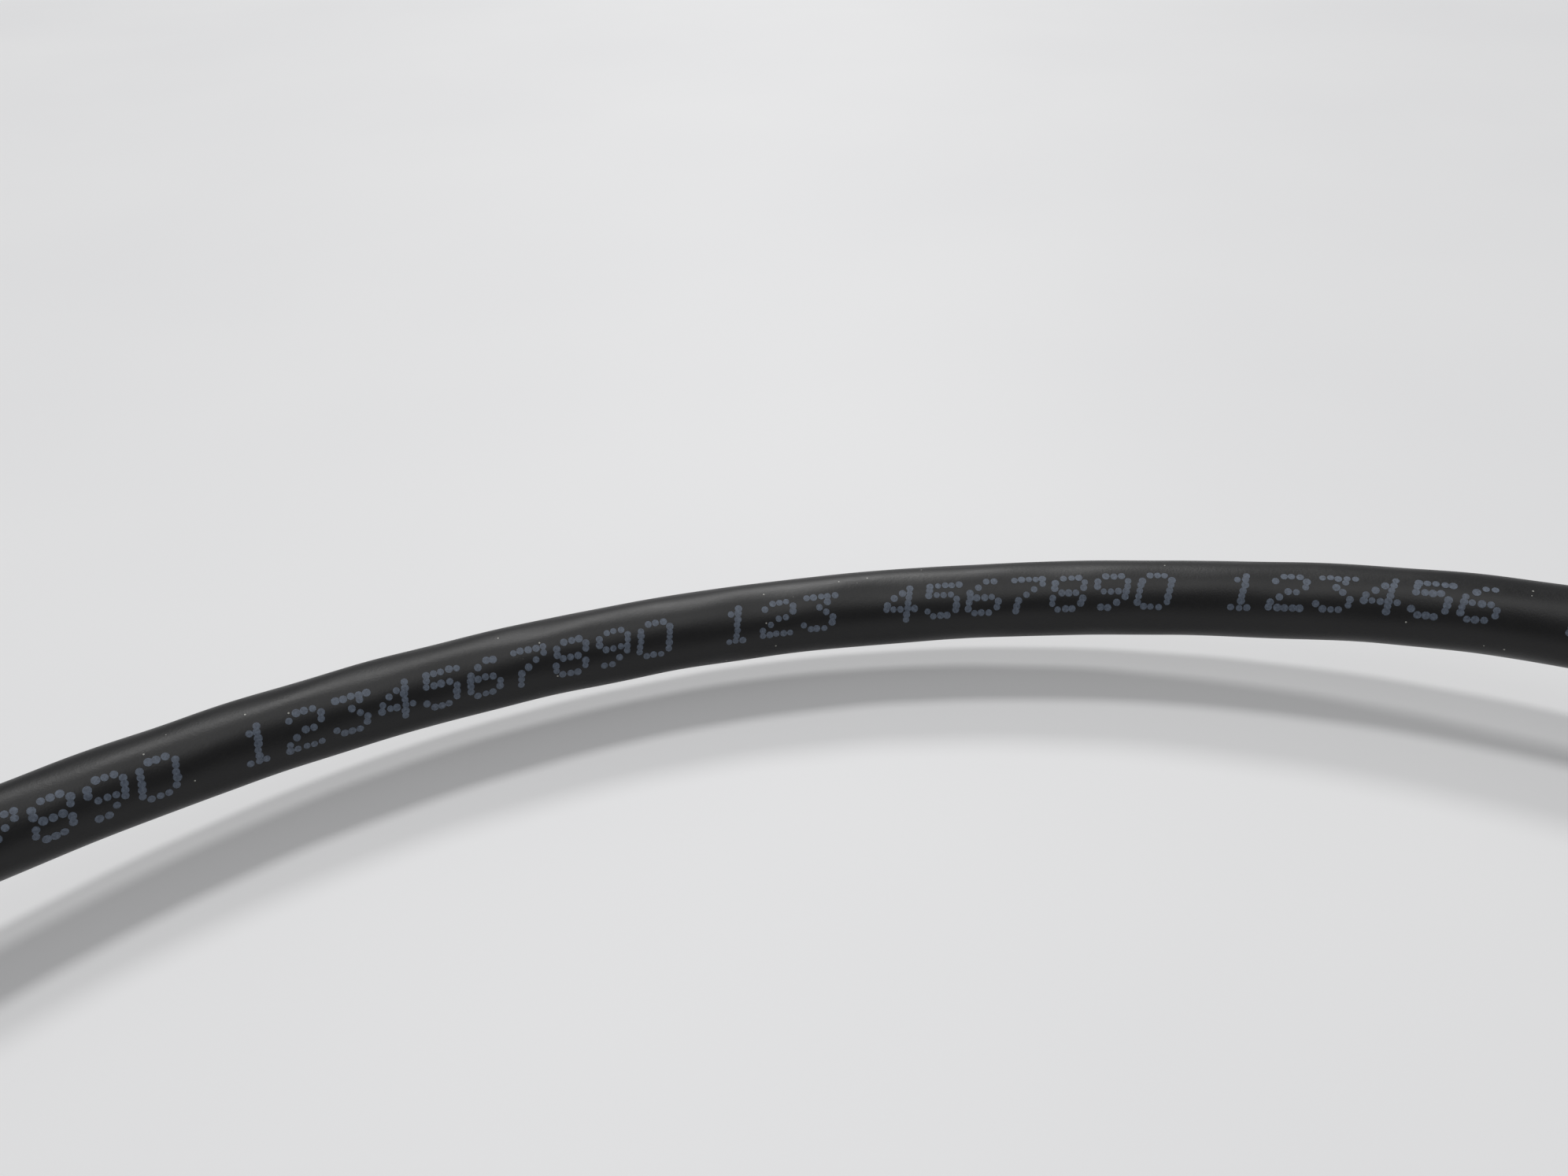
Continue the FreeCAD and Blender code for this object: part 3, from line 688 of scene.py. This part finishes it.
nut = turned_piece("socket_nut_knurled", SOCKET_FACE, [
    (NUT_FRONT, NUT_MOUTH, 0, 0.3 * MM),
    *ring_outline(NUT_FRONT, NUT_REAR),
    (NUT_REAR - COLLAR_LENGTH, THREAD_BORE, 0, THREAD_STEP),
    (NUT_MOUTH_DEPTH, THREAD_BORE, 0, THREAD_STEP)],
    RING_SIDES, nickel, nut_shape, RING_CREASE, "socket_nut")
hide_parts("socket_coupling_nut")


# Coupling screw
# The plug's ring: an M12x1 thread in front, a relief groove, and a knurled grip behind that is
# retained on the stem in the same way.
SCREW_FRONT = 1.0 * MM
SCREW_REAR = 14.7 * MM
SCREW_BORE = 5.05 * MM
SCREW_NOSE = 5.5 * MM
THREAD_RADIUS = 6.0 * MM
THREAD_ROOT = 0.6 * MM
THREAD_FRONT = 1.5 * MM
THREAD_REAR = 7.5 * MM
RELIEF_RADIUS = 5.3 * MM
GRIP_FRONT = 8.5 * MM


def screw_shape(depth, angle, radius):
    """Threaded in front and knurled behind."""
    if radius < RELIEF_RADIUS + 0.01 * MM:
        return radius
    if depth > THREAD_REAR + 0.1 * MM:
        return knurled(angle, radius)
    return min(radius, THREAD_RADIUS - THREAD_ROOT * thread_share(depth, angle))


screw = turned_piece("plug_screw_knurled", PLUG_FACE, [
    (SCREW_FRONT, SCREW_BORE, 0, 0.3 * MM),
    (SCREW_FRONT, SCREW_NOSE, 0, THREAD_STEP),
    (THREAD_FRONT, THREAD_RADIUS, 0, THREAD_STEP),
    (THREAD_REAR, THREAD_RADIUS, 0, 0.3 * MM),
    (THREAD_REAR, RELIEF_RADIUS, 0.1 * MM, 0.3 * MM),
    (GRIP_FRONT, RELIEF_RADIUS, 0.1 * MM, 0.3 * MM),
    *ring_outline(GRIP_FRONT, SCREW_REAR),
    (SCREW_REAR - COLLAR_LENGTH, SCREW_BORE, 0, 0.6 * MM)],
    RING_SIDES, nickel, screw_shape, RING_CREASE, "plug_screw")
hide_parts("plug_coupling_screw")


# Table and light
# A pale matt table. Two lights beyond the loop throw the pair of soft shadows towards the camera;
# the wide ceiling light only fills and throws none.
LIGHT_TARGET = Vector((0.12, 0, 0))


def area_light(name, place, size, power, casts=True):
    """A round light that faces the loop."""
    lamp = bpy.data.lights.new(name, "AREA")
    lamp.shape = "DISK"
    lamp.size = size
    lamp.energy = power
    lamp.use_shadow = casts
    holder = bpy.data.objects.new(name, lamp)
    holder.location = place
    holder.rotation_mode = "QUATERNION"
    holder.rotation_quaternion = (LIGHT_TARGET - Vector(place)).to_track_quat("-Z", "Y")
    bpy.context.collection.objects.link(holder)


area_light("ceiling_light", (-0.20, -0.02, 1.25), 1.0, 5.6, casts=False)
area_light("back_light_high", (1.21, 0.25, 1.94), 0.38, 13.5)
area_light("back_light_low", (1.86, -0.20, 1.41), 0.38, 13.0)

table = Finish("table_white", (0.83, 0.83, 0.835), 0.6)
haze = table.grain(60.0, 3.0)
table.drive(Base_Color=table.blend((0.80, 0.80, 0.81), (0.86, 0.86, 0.86), haze))
TABLE_REACH = 3.0
table_mesh = bpy.data.meshes.new("table_top")
table_mesh.from_pydata([(-TABLE_REACH, -TABLE_REACH, 0), (TABLE_REACH, -TABLE_REACH, 0),
                        (TABLE_REACH, TABLE_REACH, 0), (-TABLE_REACH, TABLE_REACH, 0)], [], [(0, 1, 2, 3)])
table_mesh.materials.append(table.material)
table_top = bpy.data.objects.new("table_top", table_mesh)
bpy.context.collection.objects.link(table_top)

world = bpy.data.worlds.new("room")
world.use_nodes = True
world.node_tree.nodes["Background"].inputs["Color"].default_value = (0.93, 0.94, 0.96, 1)
world.node_tree.nodes["Background"].inputs["Strength"].default_value = 0.19
bpy.context.scene.world = world
bpy.context.scene.view_settings.view_transform = "Standard"


# Camera
# It stands inside the loop and looks over the far bow of the cable. Its lens is a phone's, wide
# for the distance of 90 mm.
PHOTO_WIDTH = 1992
FOCAL_PIXELS = 1594
camera_place = Vector((113.88, 9.13, 57.17)) * MM
camera_tilt = math.radians(35.3)
camera_turn = math.radians(5.57)
camera_roll = math.radians(-2.67)

camera_data = bpy.data.cameras.new("camera")
camera_data.sensor_width = 36.0
camera_data.lens = camera_data.sensor_width * FOCAL_PIXELS / PHOTO_WIDTH
camera_data.clip_start = 5 * MM
camera_data.clip_end = 20.0
camera = bpy.data.objects.new("camera", camera_data)
bpy.context.collection.objects.link(camera)
level = Vector((-math.sin(camera_turn), -math.cos(camera_turn), 0))
ahead = Vector((math.cos(camera_turn), -math.sin(camera_turn), 0)) * math.cos(camera_tilt)
ahead.z = -math.sin(camera_tilt)
upward = level.cross(ahead)
rightward = level * math.cos(camera_roll) + upward * math.sin(camera_roll)
crown = upward * math.cos(camera_roll) - level * math.sin(camera_roll)
facing = Matrix((rightward, crown, -ahead)).transposed()
camera.matrix_world = Matrix.Translation(camera_place) @ facing.to_4x4()
bpy.context.scene.camera = camera
